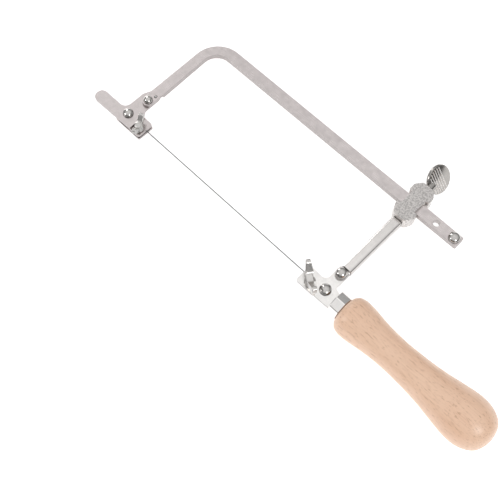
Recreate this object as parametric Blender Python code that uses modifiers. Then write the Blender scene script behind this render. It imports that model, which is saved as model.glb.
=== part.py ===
"""Adjustable jeweller's saw frame of the coping-saw family, lying on its side.

Frame of the model: +X runs along the blade towards the handle, +Y runs across
the throat from the blade to the spine, +Z is square to the plane of the saw.
Inside the script every size is taken from the middle of the blade line, and the
empty called saw_datum moves the whole saw so that the origin is under the
middle of its outer box.
"""

import math

import bmesh
import bpy
from mathutils import Matrix, Vector

MM = 0.001
GAP = 0.3 * MM                  # clearance kept between neighbouring pieces
ARC_STEPS = 6                   # segments in a quarter turn of an outline

# Blade and the two clamp lips that hold it
BLADE_LENGTH = 130.0 * MM
BLADE_DEPTH = 0.8 * MM
BLADE_THICKNESS = 0.4 * MM
GRIP_LENGTH = 2.4 * MM          # blade end held under each lip
LIP_X = BLADE_LENGTH / 2 - GRIP_LENGTH
BLADE_TRAVEL_CLEARANCE = 0.6 * MM

# Levels across the thickness, from the middle of the spine bar
BAR_THICKNESS = 3.6 * MM
PLATE_THICKNESS = 1.6 * MM
LAP_UNDERSIDE = 0.2 * MM
UPPER_PLATE_TOP = LAP_UNDERSIDE - GAP
UPPER_PLATE_UNDERSIDE = UPPER_PLATE_TOP - PLATE_THICKNESS
LOWER_PLATE_TOP = -2.0 * MM
LOWER_PLATE_UNDERSIDE = LOWER_PLATE_TOP - PLATE_THICKNESS
BLADE_Z = LOWER_PLATE_UNDERSIDE - GAP - BLADE_THICKNESS / 2
JAW_TOP = BLADE_Z - BLADE_THICKNESS / 2 - GAP
JAW_UNDERSIDE = JAW_TOP - PLATE_THICKNESS

# Bow: one flat bar bent once, with a lapped end and a drilled tail
BAR_WIDTH = 7.0 * MM
SPINE_Y = 69.6 * MM
BOW_FRONT_X = -78.0 * MM
ARM_WIDTH_AT_BEND = 5.9 * MM
ARM_WIDTH_AT_END = 7.0 * MM
BOW_END_Y = 9.3 * MM
BEND_OUTER_RADIUS = 17.0 * MM
BEND_INNER_RADIUS = 9.5 * MM
TAIL_X = 112.0 * MM
TAIL_HOLE_X = 95.5 * MM
TAIL_HOLE_RADIUS = 2.0 * MM
STOP_X = 107.9 * MM
LAP_LENGTH = 12.5 * MM
BAR_EDGE = 0.35 * MM
PLATE_EDGE = 0.3 * MM

# Rivets
BIG_DOME_RADIUS = 3.4 * MM
SMALL_DOME_RADIUS = 2.7 * MM
ARM_DOME_RADIUS = 3.2 * MM
TAB_DOME_RADIUS = 3.1 * MM
DOME_HEIGHT = 2.3 * MM
SHANK_RADIUS = 1.5 * MM
PIN_RADIUS = 0.7 * MM
PIN_PROUD = 0.2 * MM

# Upper clamp
UPPER_RIVET = (-74.6 * MM, 12.9 * MM)
UPPER_PIN = (-73.2 * MM, 17.6 * MM)
TAB_TIP_X = -101.1 * MM
TAB_WIDTH = 8.2 * MM
TAB_Y = -3.5 * MM
UPPER_NECK_LEFT = -81.1 * MM
UPPER_NECK_RIGHT = -71.6 * MM
UPPER_PLATE_FRONT = -69.4 * MM
UPPER_PLATE_TOP_Y = 20.5 * MM
LIP_LOW_Y = -6.4 * MM
LIP_HIGH_Y = 4.7 * MM
UPPER_SCREW = (-66.0 * MM, -2.6 * MM)
UPPER_WING_ANGLE = math.radians(-64.0)
TAB_RIVET = (-77.2 * MM, -0.6 * MM)

# Lower clamp
LOWER_SCREW = (68.9 * MM, -2.6 * MM)
LOWER_WING_ANGLE = math.radians(-36.0)
TANG_RIVET = (77.9 * MM, -0.2 * MM)
ARM_RIVET = (77.8 * MM, 12.3 * MM)
LOWER_PLATE_END_X = 85.6 * MM
LOWER_PLATE_LOW_Y = -7.2 * MM
LOWER_PLATE_HIGH_Y = 4.6 * MM
EAR_LEFT = 74.1 * MM
EAR_RIGHT = 81.8 * MM
EAR_END_Y = 15.2 * MM

# Screws of the clamps: M4 by 0.7
SCREW_RADIUS = 1.9 * MM
SCREW_HOLE_RADIUS = 2.2 * MM
SCREW_TIP = JAW_UNDERSIDE - 1.5 * MM
UPPER_HUB_RADIUS = 2.9 * MM
LOWER_HUB_RADIUS = 3.2 * MM
HUB_HEIGHT = 4.2 * MM
HUB_TAPER = 0.72
HUB_FOOT_HEIGHT = 0.6 * MM
SCREW_CHAMFER = 0.5 * MM
UPPER_WING_SPAN = 14.0 * MM
LOWER_WING_SPAN = 19.6 * MM
WING_HEIGHT = 12.2 * MM
WING_THICKNESS = 2.2 * MM

# Lower arm, a folded channel over a riveted tongue
ARM_X = 78.6 * MM
ARM_WIDTH = 6.6 * MM
ARM_TOP = 1.1 * MM
ARM_DEPTH = 5.9 * MM
ARM_WALL = 0.9 * MM
ARM_START_Y = 15.6 * MM
TONGUE_WIDTH = 4.2 * MM
TONGUE_THICKNESS = 1.5 * MM
TONGUE_EYE_RADIUS = 3.1 * MM
TONGUE_TOP = LOWER_PLATE_TOP + GAP + TONGUE_THICKNESS

# Slider housing on the spine
HOUSING_HALF_HEIGHT = 4.6 * MM
HOUSING_LOW_Y = 57.0 * MM
HOUSING_HIGH_Y = 82.6 * MM
LOBE_HALF_WIDTH = 6.8 * MM
WAIST_HALF_WIDTH = 4.7 * MM
WAIST_NOTCH = 0.9 * MM           # the lobes start this far from the bar's edges
SOCKET_DEPTH = 6.0 * MM
THUMB_BORE_RADIUS = 2.75 * MM

# Thumbscrew of the slider: M5 by 0.8
THUMB_SHAFT_RADIUS = 2.4 * MM
THUMB_NECK_RADIUS = 2.8 * MM
THUMB_NECK_TOP_RADIUS = 2.52 * MM
THUMB_NECK_OVERLAP = 4.8 * MM    # the neck ends this far below the middle of the head
THUMB_HEAD_RADIUS = 8.7 * MM
THUMB_HEAD_THICKNESS = 3.0 * MM
THUMB_HEAD_Y = 92.2 * MM
THUMB_HEAD_TILT = math.radians(52.0)
SHOE_LENGTH = 1.8 * MM

# Handle, ferrule and tang
HANDLE_Y = -1.3 * MM
HANDLE_Z = -3.2 * MM
FERRULE_X = 85.9 * MM
FERRULE_LENGTH = 6.3 * MM
FERRULE_CORNER_RADIUS = 7.4 * MM
FERRULE_BORE_RADIUS = 5.3 * MM
FERRULE_SIDES = 8
FERRULE_EDGE = 0.4 * MM
NOSE_LENGTH = 2.5 * MM
TANG_START_X = 75.2 * MM
TANG_FLAT_WIDTH = 7.0 * MM
TANG_ROD_END_X = 140.0 * MM
TANG_ROD_RADIUS = 2.2 * MM
TANG_TIP_RADIUS = 1.1 * MM
TANG_BORE_RADIUS = 2.6 * MM
HANDLE_END_X = 190.3 * MM
HANDLE_PROFILE = (              # share of the wood's length, radius in mm
    (0.000, 7.2), (0.006, 8.8), (0.025, 10.7), (0.055, 11.6), (0.085, 11.7),
    (0.140, 11.2), (0.210, 10.2), (0.290, 9.5), (0.370, 9.3), (0.450, 9.6),
    (0.530, 10.1), (0.620, 11.1), (0.710, 12.6), (0.780, 13.7), (0.830, 14.1),
    (0.880, 13.7), (0.925, 12.3), (0.960, 10.1), (0.982, 7.4), (0.995, 3.8),
)

# Where the outer box of the whole saw puts the origin
HANDLE_MAX_RADIUS = 14.1 * MM
BOX_LOW = Vector((TAB_TIP_X, HANDLE_Y - HANDLE_MAX_RADIUS, HANDLE_Z - HANDLE_MAX_RADIUS))
BOX_HIGH = Vector((HANDLE_END_X, THUMB_HEAD_Y + THUMB_HEAD_RADIUS, 0.0))
DATUM = Vector((-(BOX_LOW.x + BOX_HIGH.x) / 2, -(BOX_LOW.y + BOX_HIGH.y) / 2, -BOX_LOW.z))

ROUND_SIDES = 24
MERGE_DISTANCE = 0.001 * MM
SMOOTH_ANGLE = math.radians(35.0)
BEVEL_ANGLE = math.radians(50.0)
FINE_SIDES = 40
PIN_SIDES = 16
DOME_RINGS = 4
END_ROUNDING = 0.48             # share of a strip's width in the radius of its round end

NICKEL = ((0.72, 0.70, 0.68), 0.26, 1.0)
CAST_NICKEL = ((0.62, 0.60, 0.58), 0.42, 1.0)
BLADE_STEEL = ((0.22, 0.22, 0.23), 0.38, 1.0)
BEECH = ((0.80, 0.59, 0.42), 0.55, 0.0)


def clear_scene():
    """Remove every object that is in the file."""
    for obj in list(bpy.data.objects):
        bpy.data.objects.remove(obj, do_unlink=True)


def make_collection(name):
    """Return a new collection linked to the scene."""
    collection = bpy.data.collections.new(name)
    bpy.context.scene.collection.children.link(collection)
    return collection


def finish_material(name, finish):
    """Return a Principled BSDF material for one part."""
    colour, roughness, metallic = finish
    material = bpy.data.materials.new(name + "_finish")
    material.use_nodes = True
    shader = material.node_tree.nodes["Principled BSDF"]
    shader.inputs["Base Color"].default_value = (*colour, 1.0)
    shader.inputs["Roughness"].default_value = roughness
    shader.inputs["Metallic"].default_value = metallic
    return material


def move_to(obj, collection):
    """Keep the object in one collection only."""
    for other in list(obj.users_collection):
        other.objects.unlink(obj)
    collection.objects.link(obj)


def arc_points(corner, before, after, radius):
    """Return the points of a fillet of this radius at one corner."""
    to_before = (before - corner).normalized()
    to_after = (after - corner).normalized()
    half_angle = to_before.angle(to_after) / 2
    reach = radius / math.tan(half_angle)
    centre = corner + (to_before + to_after).normalized() * (radius / math.sin(half_angle))
    start = corner + to_before * reach - centre
    turn = math.pi - 2 * half_angle
    if to_before.x * to_after.y - to_before.y * to_after.x > 0:
        turn = -turn
    steps = max(2, round(abs(turn) / (math.pi / 2) * ARC_STEPS))
    points = []
    for step in range(steps + 1):
        rotation = Matrix.Rotation(turn * step / steps, 2)
        points.append(centre + rotation @ start)
    return points


def rounded_outline(corners):
    """Turn corners (x, y, radius) into the points of a closed outline."""
    points = []
    count = len(corners)
    for index, (x, y, radius) in enumerate(corners):
        corner = Vector((x, y))
        if radius == 0:
            points.append(corner)
            continue
        before = Vector(corners[index - 1][:2])
        after = Vector(corners[(index + 1) % count][:2])
        points.extend(arc_points(corner, before, after, radius))
    return points


def curve_to_mesh(curve_object, name, collection):
    """Replace a curve object with a welded mesh object of the same shape."""
    bpy.context.view_layer.update()
    evaluated = curve_object.evaluated_get(bpy.context.evaluated_depsgraph_get())
    mesh = bpy.data.meshes.new_from_object(evaluated)
    shape = bmesh.new()
    shape.from_mesh(mesh)
    bmesh.ops.remove_doubles(shape, verts=shape.verts, dist=MERGE_DISTANCE)
    bmesh.ops.recalc_face_normals(shape, faces=shape.faces)
    shape.to_mesh(mesh)
    shape.free()
    obj = bpy.data.objects.new(name, mesh)
    obj.matrix_world = curve_object.matrix_world
    collection.objects.link(obj)
    bpy.data.objects.remove(curve_object, do_unlink=True)
    return obj


def slab(name, corners, low, high, collection):
    """Return a flat plate with this outline between two levels."""
    curve = bpy.data.curves.new(name + "_outline", "CURVE")
    curve.dimensions = "2D"
    curve.fill_mode = "BOTH"
    curve.extrude = (high - low) / 2
    points = rounded_outline(corners)
    spline = curve.splines.new("POLY")
    spline.points.add(len(points) - 1)
    for target, point in zip(spline.points, points):
        target.co = (point.x, point.y, 0.0, 1.0)
    spline.use_cyclic_u = True
    curve_object = bpy.data.objects.new(name + "_outline", curve)
    curve_object.location.z = (high + low) / 2
    bpy.context.scene.collection.objects.link(curve_object)
    return curve_to_mesh(curve_object, name, collection)


def box_corners(x_low, x_high, y_low, y_high, radius=0.0):
    """Return the four corners of a rectangle."""
    return [(x_low, y_low, radius), (x_high, y_low, radius), (x_high, y_high, radius),
            (x_low, y_high, radius)]


def rod(name, start, end, radius, collection, end_radius=None, sides=ROUND_SIDES):
    """Return a closed cylinder or cone between two points."""
    start = Vector(start)
    end = Vector(end)
    axis = end - start
    mesh = bpy.data.meshes.new(name)
    shape = bmesh.new()
    bmesh.ops.create_cone(shape, cap_ends=True, segments=sides, radius1=radius,
                          radius2=radius if end_radius is None else end_radius,
                          depth=axis.length)
    shape.to_mesh(mesh)
    shape.free()
    obj = bpy.data.objects.new(name, mesh)
    turn = axis.to_track_quat("Z", "Y").to_matrix().to_4x4()
    mesh.transform(Matrix.Translation((start + end) / 2) @ turn)
    collection.objects.link(obj)
    return obj


def turned(name, profile, collection, sides=ROUND_SIDES):
    """Return a shape turned about Z from a profile of (radius, height), top first."""
    mesh = bpy.data.meshes.new(name)
    vertices = [(radius, 0.0, height) for radius, height in profile]
    edges = [(index, index + 1) for index in range(len(profile) - 1)]
    mesh.from_pydata(vertices, edges, [])
    obj = bpy.data.objects.new(name, mesh)
    collection.objects.link(obj)
    screw = obj.modifiers.new("Turn", "SCREW")
    screw.axis = "Z"
    screw.steps = sides
    screw.render_steps = sides
    screw.use_merge_vertices = True
    screw.merge_threshold = MERGE_DISTANCE
    return obj


def baked(obj):
    """Apply the object's modifiers, so that it can be turned or joined in place."""
    bpy.context.view_layer.update()
    evaluated = obj.evaluated_get(bpy.context.evaluated_depsgraph_get())
    mesh = bpy.data.meshes.new_from_object(evaluated)
    obj.modifiers.clear()
    obj.data = mesh
    return obj


def placed(obj, matrix):
    """Move an object's mesh by a matrix."""
    baked(obj).data.transform(matrix)
    return obj


def bevelled(obj, width, segments=1):
    """Break the sharp edges of a part."""
    bevel = obj.modifiers.new("Broken edges", "BEVEL")
    bevel.width = width
    bevel.segments = segments
    bevel.limit_method = "ANGLE"
    bevel.angle_limit = BEVEL_ANGLE
    return obj


def combine(obj, tool, operation):
    """Cut with, or join, another closed shape, which then becomes a guide."""
    tool.hide_render = True
    tool.display_type = "WIRE"
    move_to(tool, CUTTERS)
    bpy.context.view_layer.update()
    tool.parent = obj
    tool.matrix_parent_inverse = obj.matrix_world.inverted()
    boolean = obj.modifiers.new(operation.title(), "BOOLEAN")
    boolean.object = tool
    boolean.operation = operation
    boolean.solver = "EXACT"
    return obj


def cut(obj, tool):
    """Cut a tool's shape away."""
    return combine(obj, tool, "DIFFERENCE")


def join(obj, tool):
    """Join a tool's shape on."""
    return combine(obj, tool, "UNION")


def hole(obj, place, radius, low, high):
    """Drill a round hole along Z."""
    drill = rod(obj.name + "_drill", (*place, low), (*place, high), radius, CUTTERS)
    return cut(obj, drill)


def block(name, x_range, y_range, z_range):
    """Return a box for cutting or joining."""
    return slab(name, box_corners(*x_range, *y_range), *z_range, CUTTERS)


def smooth_rounds(obj):
    """Shade the round faces smooth and keep the sharp edges."""
    mesh = obj.data
    mesh.shade_smooth()
    mesh.set_sharp_from_angle(angle=SMOOTH_ANGLE)


def pivot(name, place):
    """Return an empty on a joint's axis."""
    empty = bpy.data.objects.new(name, None)
    empty.empty_display_size = 5 * MM
    empty.location = place
    PARTS.objects.link(empty)
    return empty


def finished(obj, parent, finish):
    """Give a part its material, its shading and its parent."""
    obj.data.materials.clear()
    obj.data.materials.append(finish_material(obj.name, finish))
    smooth_rounds(obj)
    obj.parent = parent
    obj.matrix_parent_inverse = Matrix.Translation(parent.location).inverted()
    return obj


def make_bow(parent):
    """Flat bar bent once: lapped front arm, spine and drilled tail."""
    spine_high = SPINE_Y + BAR_WIDTH / 2
    spine_low = SPINE_Y - BAR_WIDTH / 2
    end_radius = ARM_WIDTH_AT_END * END_ROUNDING
    corners = [
        (BOW_FRONT_X, BOW_END_Y, end_radius),
        (BOW_FRONT_X + ARM_WIDTH_AT_END, BOW_END_Y, end_radius),
        (BOW_FRONT_X + ARM_WIDTH_AT_BEND, spine_low, BEND_INNER_RADIUS),
        (TAIL_X, spine_low, 1.0 * MM),
        (TAIL_X, spine_high, 1.0 * MM),
        (BOW_FRONT_X, spine_high, BEND_OUTER_RADIUS),
    ]
    half = BAR_THICKNESS / 2
    bow = bevelled(slab("bow_bar", corners, -half, half, PARTS), BAR_EDGE)
    lap = block("bow_lap_cut", (BOW_FRONT_X - MM, BOW_FRONT_X + 2 * ARM_WIDTH_AT_END),
                (BOW_END_Y - MM, BOW_END_Y + LAP_LENGTH), (-half - MM, LAP_UNDERSIDE))
    cut(bow, lap)
    hole(bow, (TAIL_HOLE_X, SPINE_Y), TAIL_HOLE_RADIUS, -2 * half, 2 * half)
    hole(bow, (STOP_X, SPINE_Y), SHANK_RADIUS + GAP, -2 * half, 2 * half)
    hole(bow, UPPER_RIVET, SHANK_RADIUS + GAP, -2 * half, 2 * half)
    hole(bow, UPPER_PIN, PIN_RADIUS + GAP, -2 * half, 2 * half)
    return finished(bow, parent, NICKEL)


def make_rivet(name, place, seat, end, dome_radius, parent):
    """Domed rivet: its head rests on seat and its shank runs down to end."""
    profile = [(0.0, seat + GAP + DOME_HEIGHT)]
    for ring in range(1, DOME_RINGS + 1):
        angle = math.pi / 2 * ring / DOME_RINGS
        profile.append((dome_radius * math.sin(angle),
                        seat + GAP + DOME_HEIGHT * math.cos(angle)))
    profile.append((SHANK_RADIUS, seat + GAP))
    profile.append((SHANK_RADIUS, end))
    profile.append((0.0, end))
    rivet = turned(name, profile, PARTS)
    placed(rivet, Matrix.Translation((*place, 0.0)))
    return finished(rivet, parent, NICKEL)


def make_pin(parent):
    """Small locating pin beside the upper rivet, just proud of the bar."""
    pin = rod("upper_plate_pin", (*UPPER_PIN, UPPER_PLATE_UNDERSIDE),
              (*UPPER_PIN, BAR_THICKNESS / 2 + PIN_PROUD), PIN_RADIUS, PARTS,
              sides=PIN_SIDES)
    return finished(pin, parent, NICKEL)


def make_upper_plate(parent):
    """Y-shaped plate: bench tab, neck under the bow and a stepped front lip."""
    tab_low = TAB_Y - TAB_WIDTH / 2
    tab_high = TAB_Y + TAB_WIDTH / 2
    corners = [
        (TAB_TIP_X, tab_low, TAB_WIDTH * END_ROUNDING),
        (UPPER_PLATE_FRONT, tab_low + 0.8 * MM, 0.8 * MM),
        (UPPER_PLATE_FRONT, LIP_HIGH_Y, 0.6 * MM),
        (UPPER_NECK_RIGHT, 7.5 * MM, 2.5 * MM),
        (UPPER_NECK_RIGHT, UPPER_PLATE_TOP_Y, 2.5 * MM),
        (UPPER_NECK_LEFT + 2.5 * MM, UPPER_PLATE_TOP_Y, 1.0 * MM),
        (UPPER_NECK_LEFT, 14.5 * MM, 3.0 * MM),
        (UPPER_NECK_LEFT, tab_high, 4.2 * MM),
        (TAB_TIP_X, tab_high, TAB_WIDTH * END_ROUNDING),
    ]
    plate = slab("upper_clamp_plate", corners, UPPER_PLATE_UNDERSIDE, UPPER_PLATE_TOP, PARTS)
    bevelled(plate, PLATE_EDGE)
    riser = block("upper_riser", (UPPER_PLATE_FRONT - PLATE_THICKNESS, UPPER_PLATE_FRONT),
                  (LIP_LOW_Y, LIP_HIGH_Y - 0.7 * MM),
                  (LOWER_PLATE_UNDERSIDE, UPPER_PLATE_TOP - 0.35 * MM))
    lip = block("upper_lip", (UPPER_PLATE_FRONT - 0.5 * MM, -LIP_X), (LIP_LOW_Y, LIP_HIGH_Y),
                (LOWER_PLATE_UNDERSIDE, LOWER_PLATE_TOP))
    join(plate, riser)
    join(plate, lip)
    low, high = JAW_UNDERSIDE, UPPER_PLATE_TOP + MM
    hole(plate, UPPER_SCREW, SCREW_HOLE_RADIUS, low, high)
    hole(plate, TAB_RIVET, SHANK_RADIUS + GAP, low, high)
    hole(plate, UPPER_RIVET, SHANK_RADIUS + GAP, low, high)
    hole(plate, UPPER_PIN, PIN_RADIUS + GAP, low, high)
    return finished(plate, parent, NICKEL)


def make_jaw(name, screw_place, outline, heel, parent):
    """Clamp jaw under a plate: a small plate with a heel behind the screw."""
    jaw = slab(name, outline, JAW_UNDERSIDE, JAW_TOP, PARTS)
    x_range, y_range, heel_top = heel
    join(jaw, block(name + "_heel", x_range, y_range, (JAW_UNDERSIDE, heel_top)))
    hole(jaw, screw_place, SCREW_HOLE_RADIUS, JAW_UNDERSIDE - MM, heel_top + MM)
    return finished(jaw, parent, NICKEL)


def shank_profile(base):
    """Return the outline of a clamp screw below its head, from the seat to the tip."""
    return [(SCREW_RADIUS, base), (SCREW_RADIUS, SCREW_TIP + SCREW_CHAMFER),
            (SCREW_RADIUS - SCREW_CHAMFER, SCREW_TIP), (0.0, SCREW_TIP)]


def make_wing_screw(name, place, wing_angle, span, hub_radius, parent):
    """Clamp screw: threaded shank, coned hub and two rising wings."""
    base = LOWER_PLATE_TOP + GAP
    profile = [(0.0, base + HUB_HEIGHT), (hub_radius * HUB_TAPER, base + HUB_HEIGHT),
               (hub_radius, base + HUB_FOOT_HEIGHT), (hub_radius, base)] + shank_profile(base)
    screw = baked(turned(name, profile, PARTS))
    half_span = LOWER_WING_SPAN / 2
    size = span / LOWER_WING_SPAN
    outline = [
        (-1.6 * MM, 0.9 * MM, 0.0), (1.6 * MM, 0.9 * MM, 0.0),
        (half_span, 6.4 * MM, 2.4 * MM), (half_span - 0.9 * MM, WING_HEIGHT, 1.7 * MM),
        (2.4 * MM, 5.6 * MM, 1.5 * MM), (-2.4 * MM, 5.6 * MM, 1.5 * MM),
        (0.9 * MM - half_span, WING_HEIGHT, 1.7 * MM), (-half_span, 6.4 * MM, 2.4 * MM),
    ]
    wings = slab(name + "_wings", [(size * x, size * y, size * r) for x, y, r in outline],
                 -WING_THICKNESS / 2, WING_THICKNESS / 2, CUTTERS)
    wings.data.transform(wings.matrix_world)
    wings.matrix_world = Matrix.Identity(4)
    stand = Matrix.Translation((0.0, 0.0, base)) @ Matrix.Rotation(math.pi / 2, 4, "X")
    wings.data.transform(Matrix.Rotation(wing_angle, 4, "Z") @ stand)
    join(screw, wings)
    placed(screw, Matrix.Identity(4))
    screw.location = (*place, 0.0)
    return finished(screw, parent, NICKEL)


def make_lower_plate(parent):
    """Plate at the handle end: blade lip, ear for the arm and a tail to the ferrule."""
    corners = [
        (LIP_X, LOWER_PLATE_LOW_Y, 1.2 * MM),
        (LOWER_PLATE_END_X, LOWER_PLATE_LOW_Y + 0.6 * MM, 0.5 * MM),
        (LOWER_PLATE_END_X, 3.0 * MM, 0.5 * MM),
        (EAR_RIGHT - 0.5 * MM, 4.6 * MM, 1.6 * MM),
        (EAR_RIGHT, EAR_END_Y, 0.8 * MM),
        (EAR_LEFT, EAR_END_Y, 3.2 * MM),
        (EAR_LEFT + 0.4 * MM, LOWER_PLATE_HIGH_Y - 0.6 * MM, 3.2 * MM),
        (LIP_X + 2.4 * MM, LOWER_PLATE_HIGH_Y, 0.8 * MM),
        (LIP_X, LOWER_PLATE_HIGH_Y - 1.6 * MM, 0.8 * MM),
    ]
    plate = slab("lower_clamp_plate", corners, LOWER_PLATE_UNDERSIDE, LOWER_PLATE_TOP, PARTS)
    bevelled(plate, PLATE_EDGE)
    low, high = JAW_UNDERSIDE, LOWER_PLATE_TOP + MM
    hole(plate, LOWER_SCREW, SCREW_HOLE_RADIUS, low, high)
    hole(plate, TANG_RIVET, SHANK_RADIUS + GAP, low, high)
    hole(plate, ARM_RIVET, SHANK_RADIUS + GAP, low, high)
    return finished(plate, parent, NICKEL)


def make_arm(parent):
    """Folded channel, open underneath, between the clamp plate and the slider."""
    end_y = HOUSING_LOW_Y - GAP
    half = ARM_WIDTH / 2
    corners = [(-half, -ARM_DEPTH, 0.0), (-half, 0.0, 1.7 * MM), (half, 0.0, 1.7 * MM),
               (half, -ARM_DEPTH, 0.0)]
    length = end_y - ARM_START_Y
    arm = slab("lower_arm", corners, -length / 2, length / 2, PARTS)
    inner = slab("lower_arm_core", [
        (ARM_WALL - half, -ARM_DEPTH - MM, 0.0), (ARM_WALL - half, -ARM_WALL, 0.9 * MM),
        (half - ARM_WALL, -ARM_WALL, 0.9 * MM), (half - ARM_WALL, -ARM_DEPTH - MM, 0.0),
    ], -length, length, CUTTERS)
    cut(arm, inner)
    stand = Matrix.Rotation(math.pi / 2, 4, "X")
    move = Matrix.Translation((ARM_X, ARM_START_Y + length / 2, ARM_TOP))
    placed(arm, move @ stand)
    return finished(arm, parent, NICKEL)


def make_tongue(parent):
    """Strip inside the channel, riveted to the plate and let into the slider."""
    end_y = HOUSING_LOW_Y + SOCKET_DEPTH - GAP
    half = TONGUE_WIDTH / 2
    tongue_low = TONGUE_TOP - TONGUE_THICKNESS
    eye_x, eye_y = ARM_RIVET
    eye = TONGUE_EYE_RADIUS
    corners = [
        (eye_x - eye, eye_y - eye, eye * 0.98), (eye_x + eye, eye_y - eye, eye * 0.98),
        (eye_x + eye, eye_y + eye * 0.9, 0.6 * MM), (ARM_X + half, eye_y + eye * 0.9, 0.0),
        (ARM_X + half, end_y, 0.0), (ARM_X - half, end_y, 0.0),
        (ARM_X - half, eye_y + eye * 0.9, 0.0), (eye_x - eye, eye_y + eye * 0.9, 0.6 * MM),
    ]
    tongue = slab("arm_tongue", corners, tongue_low, TONGUE_TOP, PARTS)
    hole(tongue, ARM_RIVET, SHANK_RADIUS + GAP, tongue_low - MM, TONGUE_TOP + MM)
    return finished(tongue, parent, NICKEL)


def make_housing(parent):
    """Cast slider: two lobes joined by a waist that wraps the spine bar."""
    lobe = LOBE_HALF_WIDTH
    waist = WAIST_HALF_WIDTH
    slant = 0.5 * MM
    low_waist = SPINE_Y - BAR_WIDTH / 2 - WAIST_NOTCH
    high_waist = SPINE_Y + BAR_WIDTH / 2 + WAIST_NOTCH
    corners = [
        (ARM_X - 3.6 * MM, HOUSING_LOW_Y, 2.4 * MM), (ARM_X + 4.6 * MM, HOUSING_LOW_Y, 3.0 * MM),
        (ARM_X + lobe, 61.5 * MM, 3.0 * MM), (ARM_X + lobe, low_waist - slant, 1.0 * MM),
        (ARM_X + waist, low_waist, 0.5 * MM), (ARM_X + waist, high_waist, 0.5 * MM),
        (ARM_X + lobe, high_waist + slant, 1.0 * MM), (ARM_X + lobe, 78.6 * MM, 3.0 * MM),
        (ARM_X + 3.6 * MM, HOUSING_HIGH_Y, 1.2 * MM),
        (ARM_X - 3.6 * MM, HOUSING_HIGH_Y, 2.0 * MM), (ARM_X - lobe, 78.6 * MM, 3.0 * MM),
        (ARM_X - lobe, high_waist + slant, 1.0 * MM), (ARM_X - waist, high_waist, 0.5 * MM),
        (ARM_X - waist, low_waist, 0.5 * MM), (ARM_X - lobe, low_waist - slant, 1.0 * MM),
        (ARM_X - lobe, 62.0 * MM, 3.0 * MM),
    ]
    height = HOUSING_HALF_HEIGHT
    housing = slab("slider_housing", corners, -height, height, PARTS)
    half_bar = BAR_THICKNESS / 2 + GAP
    channel = block("slider_channel", (ARM_X - 2 * lobe, ARM_X + 2 * lobe),
                    (SPINE_Y - BAR_WIDTH / 2 - GAP, SPINE_Y + BAR_WIDTH / 2 + GAP),
                    (-half_bar, half_bar))
    cut(housing, channel)
    bore = rod("slider_bore", (ARM_X, SPINE_Y, 0.0), (ARM_X, HOUSING_HIGH_Y + MM, 0.0),
               THUMB_BORE_RADIUS, CUTTERS)
    cut(housing, bore)
    half_tongue = TONGUE_WIDTH / 2 + GAP
    socket = block("slider_socket", (ARM_X - half_tongue, ARM_X + half_tongue),
                   (HOUSING_LOW_Y - MM, HOUSING_LOW_Y + SOCKET_DEPTH),
                   (TONGUE_TOP - TONGUE_THICKNESS - GAP, TONGUE_TOP + GAP))
    cut(housing, socket)
    return finished(housing, parent, CAST_NICKEL)


def along_spine_screw(shape):
    """Lay a shape turned about Z along +Y."""
    return placed(shape, Matrix.Rotation(-math.pi / 2, 4, "X"))


def make_shoe(parent):
    """Loose pad between the thumbscrew and the edge of the spine bar."""
    start = SPINE_Y + BAR_WIDTH / 2 + GAP
    shoe = rod("pressure_shoe", (0.0, 0.0, 0.0), (0.0, SHOE_LENGTH, 0.0),
               THUMB_SHAFT_RADIUS, PARTS)
    shoe.location = (ARM_X, start, 0.0)
    return finished(shoe, parent, BLADE_STEEL)


def make_thumbscrew(parent):
    """Spade-headed screw that locks the slider."""
    tip = SPINE_Y + BAR_WIDTH / 2 + 2 * GAP + SHOE_LENGTH
    neck = HOUSING_HIGH_Y + GAP
    top = THUMB_HEAD_Y - THUMB_NECK_OVERLAP
    profile = [(0.0, top - tip), (THUMB_NECK_TOP_RADIUS, top - tip),
               (THUMB_NECK_RADIUS, neck + MM - tip), (THUMB_NECK_RADIUS, neck - tip),
               (THUMB_SHAFT_RADIUS, neck - tip), (THUMB_SHAFT_RADIUS, SCREW_CHAMFER),
               (THUMB_SHAFT_RADIUS - SCREW_CHAMFER, 0.0), (0.0, 0.0)]
    screw = along_spine_screw(turned("thumbscrew", profile, PARTS))
    half = THUMB_HEAD_THICKNESS / 2
    centre_y = THUMB_HEAD_Y - tip
    head = rod("thumbscrew_head", (0.0, centre_y, -half), (0.0, centre_y, half),
               THUMB_HEAD_RADIUS, CUTTERS, sides=FINE_SIDES)
    head.data.transform(Matrix.Rotation(THUMB_HEAD_TILT, 4, "Y"))
    join(screw, head)
    placed(screw, Matrix.Identity(4))
    screw.location = (ARM_X, tip, 0.0)
    return finished(screw, parent, NICKEL)


def make_ferrule(parent):
    """Eight-sided ferrule with a round bore."""
    start = (FERRULE_X, HANDLE_Y, HANDLE_Z)
    end = (FERRULE_X + FERRULE_LENGTH, HANDLE_Y, HANDLE_Z)
    ferrule = rod("ferrule", start, end, FERRULE_CORNER_RADIUS, PARTS, sides=FERRULE_SIDES)
    bevelled(ferrule, FERRULE_EDGE)
    bore = rod("ferrule_bore", (FERRULE_X - MM, HANDLE_Y, HANDLE_Z),
               (FERRULE_X + FERRULE_LENGTH + MM, HANDLE_Y, HANDLE_Z), FERRULE_BORE_RADIUS, CUTTERS)
    cut(ferrule, bore)
    return finished(ferrule, parent, NICKEL)


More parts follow.
